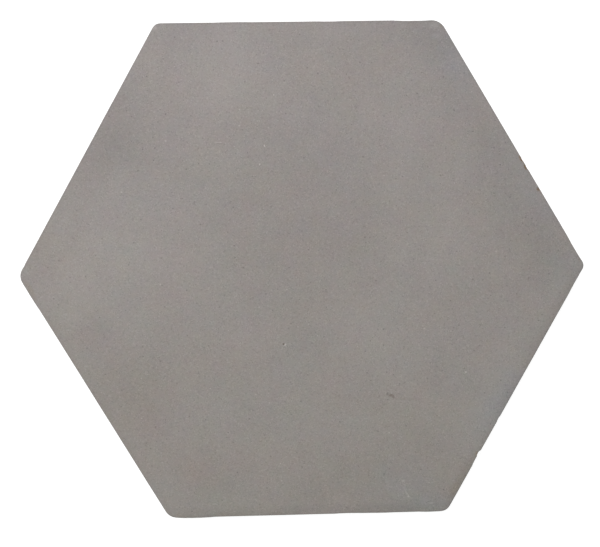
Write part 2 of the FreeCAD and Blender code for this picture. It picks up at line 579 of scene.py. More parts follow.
    def _close_bedding(self, bm: bmesh.types.BMesh, rim: list[bmesh.types.BMEdge]) -> None:
        """Sets the printed field in the bedding side and joins its border to the rim.

        Args:
            bm: The mesh, open at the bedding side.
            rim: The open loop of edges there.
        """
        before = set(bm.faces)
        mesh = self.key.build()
        bm.from_mesh(mesh)
        bpy.data.meshes.remove(mesh)
        border = []
        for face in bm.faces:
            if face not in before:
                border += [edge for edge in face.edges if edge.is_boundary]
        bmesh.ops.bridge_loops(bm, edges=rim + border)
        bmesh.ops.recalc_face_normals(bm, faces=bm.faces)

    def _refine_short_marks(self, bm: bmesh.types.BMesh) -> None:
        """Cuts the mesh finer round each short chip, so that it can take the chip's shape.

        Args:
            bm: The closed mesh.
        """
        for mark in EDGE_MARKS:
            if mark.length < self.short_mark:
                spot = mark.spot() * MM
                reach = (mark.length * self.finer_reach + self.arris_radius) * MM
                near = {vert for vert in bm.verts if (vert.co - spot).length < reach}
                close = [edge for edge in bm.edges if near.issuperset(edge.verts)]
                bmesh.ops.subdivide_edges(
                    bm, edges=close, cuts=self.finer_cuts, use_grid_fill=True
                )

    def _measure(self, bm: bmesh.types.BMesh) -> None:
        """Keeps each point's distance from the sides, and where the bedding side is.

        Args:
            bm: The closed mesh, which gets a value of each kind at each point.
        """
        from_edge = bm.verts.layers.float.new(FROM_EDGE)
        bedding = bm.verts.layers.float.new(BEDDING)
        lines = []
        for worn, beside in zip(WORN_CORNERS, WORN_CORNERS[1:] + WORN_CORNERS[:1]):
            along = (beside.tip() - worn.tip()).normalized()
            lines.append((worn.tip(), Vector((along.y, -along.x, 0))))
        print_top, print_edge = self.key.depth + 0.2, self.back_bevel + 0.5
        for vert in bm.verts:
            here = vert.co / MM
            distance = min((tip - here).dot(facing) for tip, facing in lines)
            vert[from_edge] = distance
            printed = here.z < print_top and distance > print_edge
            vert[bedding] = 1.0 if here.z < SAME_PLACE / 2 or printed else 0.0

    def _weather(self, bm: bmesh.types.BMesh) -> None:
        """Moves the mesh's points a little, as the press and handling leave them.

        Args:
            bm: The closed and measured mesh.
        """
        from_edge = bm.verts.layers.float[FROM_EDGE]
        ways = [(side.value, unit(side.value), unit(side.value + 90)) for side in Side]
        for vert in bm.verts:
            here = vert.co / MM
            if vert[from_edge] < self.waver_reach:
                vert.co -= self._wavered(here, vert[from_edge], ways) * MM
            if here.z > THICKNESS - self.hollow_depth:
                hollow = share(0.5 + self.hollow_contrast * self.hollows.at(here))
                vert.co.z -= self.undulation * hollow * MM

    def _wavered(
        self, here: Vector, distance: float, ways: list[tuple[int, Vector, Vector]]
    ) -> Vector:
        """Works out a slight waver of the outline, which dies out towards the middle.

        Args:
            here: The point, in millimetres.
            distance: Its distance from the nearest side.
            ways: Each side's own number, the way it faces and the way it runs.

        Returns:
            How far to move the point inwards, against the way that its side faces.
        """
        seed, facing, running = max(ways, key=lambda way: here.dot(way[1]))
        place = (here.dot(running) / self.waver_length, seed, here.z / self.waver_height)
        wave = 0.5 + 0.5 * noise.noise(Vector(place))
        return facing * self.waver * (1 - distance / self.waver_reach) * wave

    def _strike(self, bm: bmesh.types.BMesh, mark: EdgeMark) -> None:
        """Presses one chip into the edge, or draws one swelling out of it.

        Args:
            bm: The closed mesh.
            mark: The chip or swelling.
        """
        spot = mark.spot()
        facing, running = unit(mark.side.value), unit(mark.side.value + 90)
        across = max(mark.height, 2 * abs(mark.depth))
        reach = max(mark.length / 2, across, mark.height)
        for vert in bm.verts:
            offset = vert.co / MM - spot
            if offset.length < reach:
                inside = (offset.dot(running) / (mark.length / 2)) ** 2
                inside = 1 - inside - (offset.dot(facing) / across) ** 2
                inside -= (offset.z / mark.height) ** 2
                if inside > 0:
                    rough = noise.noise(vert.co / MM * self.chip_grain)
                    rough = 1 + self.chip_roughness * rough
                    push = facing * mark.depth * inside**self.chip_roundness * rough
                    push.z = max(mark.depth, 0) * self.chip_drop * inside
                    vert.co -= push * MM

    def _shade_smooth(self, bm: bmesh.types.BMesh) -> None:
        """Shades the faces smooth, with the bedding side's bevel and the print kept crisp.

        Args:
            bm: The finished mesh.
        """
        for face in bm.faces:
            face.smooth = True
        for edge in bm.edges:
            if edge.is_manifold and edge.calc_face_angle(0) > math.radians(self.crease):
                edge.smooth = max(vert.co.z for vert in edge.verts) > self.crisp_below * MM


class Wiring:
    """Adds the nodes of one node tree and joins them up."""

    def __init__(self, tree: bpy.types.NodeTree) -> None:
        """Keeps the tree that the nodes go in."""
        self.tree = tree

    @classmethod
    def cleared(cls, owner: bpy.types.Material | bpy.types.World) -> Wiring:
        """Empties a material's or a world's node tree.

        Args:
            owner: The material or world.

        Returns:
            The wiring of its empty tree.
        """
        owner.use_nodes = True
        owner.node_tree.nodes.clear()
        return cls(owner.node_tree)

    def node(self, kind: str, **settings: Any) -> bpy.types.Node:
        """Adds a node.

        Args:
            kind: The node's type, as Blender names it.
            **settings: The node's own settings.

        Returns:
            The node.
        """
        made = self.tree.nodes.new(kind)
        for name, value in settings.items():
            setattr(made, name, value)
        return made

    def feed(self, socket: bpy.types.NodeSocket, value: Fed) -> None:
        """Links another node's output to a socket, or sets the socket's own value.

        Args:
            socket: The input.
            value: The output or the value.
        """
        if isinstance(value, bpy.types.NodeSocket):
            self.tree.links.new(value, socket)
        else:
            socket.default_value = value

    def fed(self, made: bpy.types.Node, **values: Fed) -> bpy.types.Node:
        """Feeds a node's inputs.

        Args:
            made: The node.
            **values: What each input takes, by its name with _ for a space.

        Returns:
            The node.
        """
        for name, value in values.items():
            self.feed(made.inputs[name.replace("_", " ")], value)
        return made

    def math(self, operation: str, *values: Fed) -> bpy.types.NodeSocket:
        """Adds a Math node.

        Args:
            operation: What it works out.
            *values: Its inputs.

        Returns:
            Its result.
        """
        made = self.node("ShaderNodeMath", operation=operation)
        for socket, value in zip(made.inputs, values):
            self.feed(socket, value)
        return made.outputs["Value"]

    def vector(self, operation: str, *values: Fed) -> bpy.types.NodeSocket:
        """Adds a Vector Math node.

        Args:
            operation: What it works out.
            *values: Its inputs.

        Returns:
            Its result: a value for a dot product, and otherwise a vector.
        """
        made = self.node("ShaderNodeVectorMath", operation=operation)
        for socket, value in zip(made.inputs, values):
            self.feed(socket, value)
        return made.outputs["Value" if operation == "DOT_PRODUCT" else "Vector"]

    def scaled(self, vector: Fed, amount: Fed) -> bpy.types.NodeSocket:
        """A vector times a value."""
        made = self.node("ShaderNodeVectorMath", operation="SCALE")
        return self.fed(made, Vector=vector, Scale=amount).outputs["Vector"]

    def fade(self, value: Fed, start: Fed, end: Fed) -> bpy.types.NodeSocket:
        """Adds a smooth step.

        A smooth step stays within its ends by itself. The node's clamp is off, as with it
        the many patches would not all fit into one Cycles shader.

        Args:
            value: What it follows.
            start: Where the value gives 0.
            end: Where the value gives 1.

        Returns:
            Its result.
        """
        made = self.node("ShaderNodeMapRange", interpolation_type="SMOOTHSTEP", clamp=False)
        for name, given in zip(("Value", "From Min", "From Max"), (value, start, end)):
            self.feed(made.inputs[name], given)
        return made.outputs["Result"]

    def noise(self, vector: Fed, scale: float, detail: float) -> bpy.types.Node:
        """Adds soft noise, by its changes to a millimetre and its count of finer layers."""
        made = self.node("ShaderNodeTexNoise")
        return self.fed(made, Vector=vector, Scale=scale, Detail=detail)

    def cells(self, vector: Fed, size: Fed) -> tuple[bpy.types.NodeSocket, Any]:
        """Adds a scatter of points, one in each cell of a loose grid.

        Args:
            vector: Where it is read.
            size: The grid's spacing.

        Returns:
            The distance to the nearest point, as a share of the spacing, and three
            random values of that point's cell, named Red, Green and Blue.
        """
        spread = self.scaled(vector, self.math("DIVIDE", 1.0, size))
        made = self.node("ShaderNodeTexVoronoi", feature="F1")
        self.fed(made, Vector=spread, Scale=1.0, Randomness=1.0)
        chance = self.fed(self.node("ShaderNodeSeparateColor"), Color=made.outputs["Color"])
        return made.outputs["Distance"], chance.outputs

    def group(self, effect: bpy.types.NodeTree, **values: Fed) -> bpy.types.Node:
        """Places a shared effect, with what each input takes by its name in lower case."""
        made = self.node("ShaderNodeGroup", node_tree=effect)
        return self.fed(made, **{name.capitalize(): value for name, value in values.items()})


@dataclass
class Tone:
    """How the cement strays from its own colour: each part is a share of that colour."""

    lighter: Fed = 0.0
    warmer: Fed = 0.0
    greener: Fed = 0.0

    def add(self, wiring: Wiring, mask: Fed, change: Patch | Band) -> None:
        """Adds what one patch or band changes.

        Args:
            wiring: The material's wiring.
            mask: Where the change is.
            change: How much each part changes.
        """
        for part in TONE_PARTS:
            amount = getattr(change, part)
            if amount:
                total = wiring.math("MULTIPLY_ADD", mask, amount, getattr(self, part))
                setattr(self, part, total)

    def lay(self, wiring: Wiring, mask: Fed, layer: Tone) -> None:
        """Adds another tone.

        Args:
            wiring: The material's wiring.
            mask: Where the other tone is.
            layer: The other tone.
        """
        for part in TONE_PARTS:
            total = wiring.math("MULTIPLY_ADD", getattr(layer, part), mask, getattr(self, part))
            setattr(self, part, total)

    def joined(self, wiring: Wiring) -> bpy.types.NodeSocket:
        """The three parts as one vector, which the toned group takes."""
        parts = wiring.node("ShaderNodeCombineXYZ")
        return wiring.fed(parts, X=self.lighter, Y=self.warmer, Z=self.greener).outputs["Vector"]


class Effects:
    """The node groups that the cement's finish is put together from."""

    SECTOR_BORDER = (0.855, 0.885)
    BAND_FADE = (1.6, 0.2)
    SPECK_FADE = (1.3, 0.4)
    SPECK_SIZE = (0.8, 0.6)
    SPECK_STRENGTH = (0.7, 0.3)

    def __init__(self) -> None:
        """Makes each group once."""
        self.patch = self._make_patch()
        self.side_band = self._make_side_band()
        self.mottling = self._make_mottling()
        self.grain = self._make_grain()
        self.specks = self._make_specks()
        self.toned = self._make_toned()

    def _start(
        self, name: str, takes: dict[str, str], gives: dict[str, str]
    ) -> tuple[Wiring, Any, Any]:
        """Starts a node group.

        Args:
            name: The group's name.
            takes: Each input's name and its kind: Vector, Float or Color.
            gives: Each output's name and its kind.

        Returns:
            The group's wiring, its input sockets and its output sockets.
        """
        tree = bpy.data.node_groups.new(name, "ShaderNodeTree")
        for sockets, direction in ((takes, "INPUT"), (gives, "OUTPUT")):
            for label, kind in sockets.items():
                tree.interface.new_socket(
                    name=label, in_out=direction, socket_type=f"NodeSocket{kind}"
                )
        wiring = Wiring(tree)
        taken = wiring.node("NodeGroupInput").outputs
        given = wiring.node("NodeGroupOutput").inputs
        return wiring, taken, given

    def _make_patch(self) -> bpy.types.NodeTree:
        """Makes a soft round or long patch at one place.

        Returns:
            The group, whose Along and Across are the patch's two directions, each divided
            by the patch's half size that way.
        """
        ways = ("Along", "Across")
        takes = dict.fromkeys(("Vector", "Place", *ways), "Vector") | {"Softness": "Float"}
        wiring, taken, given = self._start("placed_patch", takes, {"Mask": "Float"})
        offset = wiring.vector("SUBTRACT", taken["Vector"], taken["Place"])
        squares: Fed = 0.0
        for way in ways:
            part = wiring.vector("DOT_PRODUCT", offset, taken[way])
            squares = wiring.math("MULTIPLY_ADD", part, part, squares)
        away = wiring.math("SQRT", squares)
        outer = wiring.math("ADD", 1.0, taken["Softness"])
        inner = wiring.math("SUBTRACT", 1.0, taken["Softness"])
        wiring.feed(given["Mask"], wiring.fade(away, outer, inner))
        return wiring.tree

    def _make_side_band(self) -> bpy.types.NodeTree:
        """Makes a band along one side of the hexagon.

        Returns:
            The group, whose Facing is the way that the side faces.
        """
        takes = {"Vector": "Vector", "Facing": "Vector", "From edge": "Float", "Width": "Float"}
        wiring, taken, given = self._start("side_band", takes, {"Mask": "Float"})
        flat = wiring.vector("MULTIPLY", taken["Vector"], (1.0, 1.0, 0.0))
        toward = wiring.vector("NORMALIZE", flat)
        turned = wiring.vector("DOT_PRODUCT", toward, taken["Facing"])
        beside = wiring.fade(turned, *self.SECTOR_BORDER)
        ends = [wiring.math("MULTIPLY", taken["Width"], times) for times in self.BAND_FADE]
        near = wiring.fade(taken["From edge"], *ends)
        wiring.feed(given["Mask"], wiring.math("MULTIPLY", beside, near))
        return wiring.tree

    def _make_mottling(self) -> bpy.types.NodeTree:
        """Makes uneven tone at one size.

        Returns:
            The group, whose Strength is how far lighter, warmer and greener swing.
        """
        takes = {"Vector": "Vector", "Size": "Float", "Strength": "Vector"}
        wiring, taken, given = self._start("mottling", takes, {"Tone": "Vector"})
        per_size = wiring.math("DIVIDE", 1.0, taken["Size"])
        cloud = wiring.noise(wiring.scaled(taken["Vector"], per_size), scale=1.0, detail=1.0)
        level = wiring.vector("SUBTRACT", cloud.outputs["Color"], NOISE_MEAN)
        wiring.feed(given["Tone"], wiring.vector("MULTIPLY", level, taken["Strength"]))
        return wiring.tree

    def _make_grain(self) -> bpy.types.NodeTree:
        """Makes the sand grains: each one's lightness and the height it stands.

        The lightness is the cube of a level about 0, so that most grains match and a few
        are much darker or lighter.

        Returns:
            The group, whose Size is the grains' spacing.
        """
        takes = {"Vector": "Vector", "Size": "Float"}
        gives = {"Level": "Float", "Height": "Float"}
        wiring, taken, given = self._start("sand_grain", takes, gives)
        away, chance = wiring.cells(taken["Vector"], taken["Size"])
        level = wiring.math("SUBTRACT", chance["Red"], 0.5)
        square = wiring.math("MULTIPLY", level, level)
        wiring.feed(given["Level"], wiring.math("MULTIPLY", square, level))
        dome = wiring.math("SUBTRACT", 1.0, away)
        wiring.feed(given["Height"], wiring.math("MULTIPLY", dome, chance["Green"]))
        return wiring.tree

    def _make_specks(self) -> bpy.types.NodeTree:
        """Makes a sparse scatter of round specks of many sizes and strengths.

        Returns:
            The group, whose Share is how many of the places have a speck.
        """
        takes = {"Vector": "Vector", "Spacing": "Float", "Radius": "Float", "Share": "Float"}
        wiring, taken, given = self._start("sparse_specks", takes, {"Mask": "Float"})
        away, chance = wiring.cells(taken["Vector"], taken["Spacing"])
        away = wiring.math("MULTIPLY", away, taken["Spacing"])
        size = wiring.math("MULTIPLY_ADD", chance["Green"], *self.SPECK_SIZE)
        radius = wiring.math("MULTIPLY", taken["Radius"], size)
        ends = [wiring.math("MULTIPLY", radius, times) for times in self.SPECK_FADE]
        picked = wiring.math("LESS_THAN", chance["Red"], taken["Share"])
        strong = wiring.math("MULTIPLY_ADD", chance["Blue"], *self.SPECK_STRENGTH)
        strength = wiring.math("MULTIPLY", picked, strong)
        wiring.feed(given["Mask"], wiring.math("MULTIPLY", wiring.fade(away, *ends), strength))
        return wiring.tree

    def _make_toned(self) -> bpy.types.NodeTree:
        """Makes the change of a colour by a tone.

        Returns:
            The group, whose Tone is lighter, warmer and greener as one vector.
        """
        takes = {"Color": "Color", "Tone": "Vector"}
        wiring, taken, given = self._start("toned", takes, {"Color": "Color"})
        parts = wiring.fed(wiring.node("ShaderNodeSeparateXYZ"), Vector=taken["Tone"])
        changed: Fed = (1.0, 1.0, 1.0)
        ways = {"X": (1.0, 1.0, 1.0), "Y": (1.0, 0.0, -1.0), "Z": (-0.5, 1.0, -0.5)}
        for name, way in ways.items():
            step = wiring.scaled(way, parts.outputs[name])
            changed = wiring.vector("ADD", changed, step)
        changed = wiring.vector("MAXIMUM", changed, (0.0, 0.0, 0.0))
        wiring.feed(given["Color"], wiring.vector("MULTIPLY", taken["Color"], changed))
        return wiring.tree


@dataclass(frozen=True)
class Patch:
    """A place on the face where the cement is lighter, warmer or greener than elsewhere.

    Its half length runs at its turn in degrees, anticlockwise from +X.
    """

    name: str
    x: float
    y: float
    half_length: float
    half_width: float
    turn: float = 0.0
    softness: float = 0.9
    lighter: float = 0.0
    warmer: float = 0.0
    greener: float = 0.0


@dataclass(frozen=True)
class Mark(Patch):
    """A small patch with a clear outline, such as a fleck, a stain or a scuff."""

    softness: float = 0.5


@dataclass(frozen=True)
class Band:
    """Painted shade along one side of the tile: a change of tone that follows that side."""

    side: Side
    width: float
    lighter: float
    warmer: float = 0.0
    greener: float = 0.0


# Each cloud: its name, x, y, half length and half width, and what it changes.
CLOUDS = (
    Patch("bright_bloom", -27.8, 81.0, 15, 13, lighter=0.074),
    Patch("left_bloom", -75.6, 8.1, 24, 18, lighter=0.062),
    Patch("upper_left_shade", -76.2, 56.0, 13, 12, lighter=-0.088),
    Patch("left_shade", -71.0, -46.7, 15, 13, lighter=-0.060, warmer=0.008),
    Patch("middle_shade", 3.0, 24.6, 34, 24, turn=70, lighter=-0.045),
    Patch("right_glow", 55.6, 15.4, 16, 14, lighter=0.030),
    Patch("lower_glow", 30.5, -28.7, 19, 16, lighter=0.040),
    Patch("far_right_glow", 79.4, -40.0, 13, 10, lighter=0.046),
    Patch("corner_glow", 66.8, -62.3, 12, 9, lighter=0.040),
    Patch("right_shade", 94.2, 16.7, 12, 10, lighter=-0.060),
    Patch("upper_right_shade", 80.2, 37.2, 12, 10, lighter=-0.045),
    Patch("top_corner_shade", 56.6, 91.6, 9, 8, lighter=-0.058),
    Patch("bottom_corner_shade", 54.1, -90.9, 9, 8, lighter=-0.040),
    Patch("bottom_shade", 11.1, -89.8, 20, 8, lighter=-0.020),
    Patch("cool_right", 79.2, -54.4, 14, 9, turn=60, warmer=-0.034),
    Patch("cool_bottom", 41.8, -90.6, 12, 8, warmer=-0.022),
    Patch("cool_top", 58.0, 85.0, 10, 6, turn=120, warmer=-0.024),
    Patch("cool_far_right", 104.3, -1.8, 9, 9, warmer=-0.015),
    Patch("cool_upper_right", 90.0, 33.0, 14, 8, turn=120, warmer=-0.015),
    Patch("warm_lower_left", -67.4, -59.0, 12, 9, warmer=0.011),
    Patch("top_right_shade", 44, 96, 9, 5, lighter=-0.036),
    Patch("top_left_glow", -60, 86, 7, 5, turn=60, lighter=0.040),
    Patch("top_glow", 0, 97, 32, 5, lighter=0.028),
    Patch("upper_left_glow", -37, 66, 12, 8, turn=90, lighter=0.044),
    Patch("upper_glow", 2, 66, 32, 12, lighter=0.018),
    Patch("upper_right_glow", 40, 55, 20, 12, turn=100, lighter=0.032),
    Patch("right_edge_shade", 71, 56, 10, 8, turn=120, lighter=-0.036),
    Patch("left_edge_shade", -84, 42, 10, 7, turn=60, lighter=-0.020),
    Patch("left_corner_glow", -89, -5, 14, 10, lighter=0.026),
    Patch("left_spot_shade", -84, -23, 7, 6, lighter=-0.030),
    Patch("right_corner_shade", 98, 2, 11, 8, lighter=-0.042),
    Patch("right_corner_glow", 96, -18, 9, 8, turn=60, lighter=0.026),
    Patch("lower_middle_shade", 9, -35, 16, 11, turn=100, lighter=-0.030),
    Patch("lower_left_shade", -20, -36, 9, 7, lighter=-0.014),
    Patch("low_right_shade", 46, -73, 16, 9, turn=15, lighter=-0.028),
    Patch("mid_right_shade", 48, -33, 9, 7, turn=90, lighter=-0.020),
    Patch("low_left_edge_shade", -60, -72, 14, 8, turn=110, lighter=-0.030),
    Patch("low_left_shade", -37, -87, 11, 9, turn=90, lighter=-0.036),
    Patch("low_edge_shade", 13, -86, 20, 8, lighter=-0.038),
    Patch("low_corner_shade", 35, -97, 14, 5, lighter=-0.080),
    Patch("top_inner_shade", 46, 88, 9, 5, lighter=-0.020),
    Patch("upper_right_inner_shade", 72, 63, 19, 5, turn=120, lighter=-0.024),
    Patch("right_middle_glow", 30, 34, 14, 9, turn=-40, lighter=0.020),
    Patch("left_edge_glow", -93, -20, 5, 4, lighter=0.050),
    Patch("upper_left_edge_shade", -72, 69, 6, 3, turn=60, lighter=-0.030),
    Patch("low_left_spot", -57, -63, 5, 4, lighter=-0.036),
    Patch("lower_right_inner_shade", 66, -48, 21, 5, turn=60, lighter=-0.020),
    Patch("right_glow_lower", 51, -1, 10, 8, lighter=0.018),
    Patch("lower_left_inner_shade", -76, -38, 15, 4, turn=120, lighter=-0.018),
    Patch("left_inner_shade", -91, 24, 13, 6, turn=60, lighter=-0.013),
    Patch("upper_spot", 24, 66, 6, 5, lighter=-0.022),
    Patch("upper_middle_shade", -21, 37, 15, 9, turn=-30, lighter=-0.013),
    Patch("cool_corner", 108, 0, 6, 6, lighter=-0.016, warmer=-0.026),
    Patch("cool_upper_edge", 65, 79, 7, 4, turn=120, warmer=-0.032),
    Patch("cool_right_edge", 96, 21, 9, 4, turn=120, warmer=-0.022),
    Patch("cool_lower_edge", 79, -53, 10, 4, turn=60, warmer=-0.020),
    Patch("cool_bottom_edge", 50, -97, 10, 4, warmer=-0.026),
    Patch("cool_top_edge", -43, 98, 16, 4, warmer=-0.014),
    Patch("warm_top", 1, 78, 6, 6, warmer=0.018),
    Patch("warm_upper_right", 36, 82, 6, 5, warmer=0.018),
    Patch("warm_middle", -7, 17, 8, 5, turn=90, warmer=0.014),
    Patch("warm_bottom_left", -47, -77, 15, 8, turn=-20, warmer=0.014),
)

# Each mark, in the same order.
MARKS = (
    Mark("rust_upper", 88.7, 43.5, 1.4, 0.6, turn=120, softness=0.4, lighter=-0.30, warmer=0.11),
    Mark("rust_upper_core", 89.0, 42.9, 0.6, 0.5, lighter=-0.22, warmer=0.06),
    Mark("rust_middle", 90.5, 40.1, 0.9, 0.5, turn=110, lighter=-0.44, warmer=0.14),
    Mark("rust_lower", 95.5, 31.1, 0.65, 0.55, turn=120, lighter=-0.44, warmer=0.13),
    Mark("rust_trail", 90.6, 41.3, 5.0, 0.7, turn=120, lighter=-0.12, warmer=0.07),
    Mark("rust_trail_lower", 96.5, 30.3, 1.2, 0.6, turn=120, lighter=-0.06, warmer=0.05),
    Mark("rust_corner", 112.2, 2.6, 1.4, 0.7, turn=100, softness=0.6, lighter=-0.06, warmer=0.03),
    Mark("notch_stain", 69.4, -76.3, 0.9, 0.6, turn=75, softness=0.6, lighter=-0.10,
         warmer=0.08, greener=-0.02),
    Mark("brown_edge", 62.0, -87.3, 9.0, 1.3, turn=60, softness=0.8, lighter=-0.055,
         warmer=0.022),
    Mark("dark_speck", 64.6, -85.3, 0.7, 0.6, softness=0.6, lighter=-0.16, warmer=0.03),
    Mark("smear", 34.6, -51.3, 0.95, 0.5, turn=-12, lighter=-0.36, warmer=0.035, greener=-0.01),
    Mark("smear_upper", 33.2, -50.7, 0.6, 0.45, turn=60, lighter=-0.34, warmer=0.01),
    Mark("smear_lower", 35.6, -52.0, 0.55, 0.4, lighter=-0.28, warmer=0.02),
    Mark("smear_tail", 40.0, -52.8, 4.5, 0.5, turn=-5, softness=0.8, lighter=-0.065, warmer=0.01),
    Mark("scratch_light", -33.2, 52.2, 1.5, 0.28, lighter=0.20),
    Mark("scratch_dark", -33.2, 51.7, 1.5, 0.25, lighter=-0.16),
    # The first is painted shade inside the deepest pinhole, a little warm; the second is a paler
    # chip at its rim.
    Mark("deep_pit_shade", -8.7, -29.5, 0.36, 0.34, softness=0.4, lighter=-0.64, warmer=0.05),
    Mark("chipped_pit_pale", -8.0, -29.7, 0.55, 0.32, turn=50, softness=0.4, lighter=0.62),
    Mark("lime_left", -54.1, 53.2, 0.5, 0.4, lighter=0.22),
    Mark("lime_upper", -14.6, 50.6, 0.4, 0.3, turn=90, lighter=0.62),
    Mark("lime_upper_shade", -14.1, 50.6, 0.5, 0.22, turn=90, lighter=-0.22),
    Mark("lime_middle", -16.8, 43.1, 0.35, 0.3, turn=90, lighter=0.58),
    Mark("lime_middle_shade", -16.3, 42.9, 0.4, 0.22, turn=90, lighter=-0.18),
    Mark("lime_top_left", -24.5, 58.8, 0.35, 0.3, lighter=0.36),
    Mark("lime_top_left_upper", -24.3, 65.2, 0.3, 0.3, lighter=0.32),
    Mark("lime_near_middle", -7.0, -7.3, 0.3, 0.3, lighter=0.30),
    Mark("lime_far_left", -72.2, 33.0, 0.3, 0.3, lighter=0.28),
    Mark("lime_low", -20.5, -49.6, 0.35, 0.3, lighter=0.26),
    Mark("lime_above", -12.9, 57.8, 0.3, 0.3, lighter=0.26),
    Mark("lime_mid_left", -57.7, -4.2, 0.3, 0.3, lighter=0.26),
    Mark("lime_streak", 40.3, -91.6, 1.6, 0.3, turn=-62, softness=0.6, lighter=0.15),
    Mark("lime_streak_upper", 39.3, -88.2, 1.8, 0.5, turn=-85, softness=0.8, lighter=0.08),
    Mark("lime_streak_head", 39.0, -86.6, 0.7, 0.35, lighter=0.24),
    Mark("lime_streak_foot", 41.1, -93.1, 0.4, 0.4, lighter=0.34),
    Mark("lime_spot", 50.4, -96.0, 0.8, 0.35, softness=0.6, lighter=0.24),
    Mark("lime_haze", 47.8, -95.6, 2.6, 1.5, turn=100, softness=0.9, lighter=0.055, warmer=-0.02),
    Mark("right_speck", 65.1, -42.6, 0.45, 0.4, turn=90, lighter=0.38),
    Mark("right_speck_shade", 64.6, -41.0, 0.4, 0.3, lighter=-0.20),
    Mark("pale_speck", 48.6, -24.4, 0.4, 0.35, lighter=0.26),
    Mark("small_speck", 59.4, -25.6, 0.35, 0.3, lighter=0.16),
    Mark("pink_bottom", -41.0, -80.9, 6.0, 4.5, softness=0.9, lighter=-0.03, warmer=0.006,
         greener=-0.012),
    Mark("pink_left", -86.5, -25.2, 6.0, 5.0, softness=0.9, warmer=0.008, greener=-0.010),
    Mark("pink_lower_left", -63.0, -59.8, 7.0, 5.0, softness=0.9, warmer=0.004, greener=-0.008),
    Mark("lime_top", 55.0, 93.2, 1.6, 0.9, softness=0.8, lighter=0.10, warmer=-0.01),
    Mark("lime_top_edge", 54.2, 97.4, 1.5, 0.9, softness=0.8, lighter=0.11, warmer=-0.01),
    Mark("olive_speck", 57.0, 97.0, 0.6, 0.5, softness=0.6, lighter=-0.08, warmer=0.06,
         greener=0.02),
    Mark("lime_corner", -57.4, 97.8, 0.9, 0.8, softness=0.6, lighter=0.14),
    Mark("brown_left", -109.5, -5.8, 3.4, 0.9, turn=-64, softness=0.8, lighter=-0.07,
         warmer=0.04),
    Mark("lime_left_edge", -110.9, 2.4, 1.4, 0.7, turn=80, softness=0.7, lighter=0.07,
         warmer=-0.01),
)

# Painted shade along the rim: each side's band of darker face, narrow on the top and upper left
# sides and broad on the bottom and lower right.
EDGE_SHADE_BANDS = (
    Band(Side.TOP, width=0.9, lighter=-0.09),
    Band(Side.UPPER_LEFT, width=0.8, lighter=-0.08),
    Band(Side.LOWER_LEFT, width=2.0, lighter=-0.025),
    Band(Side.BOTTOM, width=3.4, lighter=-0.086),
    Band(Side.LOWER_RIGHT, width=3.4, lighter=-0.080),
    Band(Side.UPPER_RIGHT, width=1.6, lighter=-0.015),
)

# Uneven pigment: each size, and how far lighter, warmer and greener swing at it.
MOTTLING = {
    0.8: (0.018, 0.014, 0.010),
    2.4: (0.022, 0.038, 0.040),
    6.0: (0.070, 0.042, 0.040),
    17.0: (0.092, 0.046, 0.038),
}


@dataclass(frozen=True)
class Specks:
    """A sparse scatter of specks: how far apart, how large, how many, and how much lighter."""

    spacing: float
    radius: float
    share: float
    lighter: float


@dataclass(frozen=True)
class Wander:
    """How outlines stray from true ovals: by the size of the noise and how far it reaches."""

    size: float
    reach: float


@dataclass
class Ground:
    """What every part of the finish reads, and the tone that it adds to."""

    wiring: Wiring
    effects: Effects
    here: Fed
    height: Fed
    flank: Fed
    from_edge: Fed
    bedding: Fed
    tone: Tone = field(default_factory=Tone)


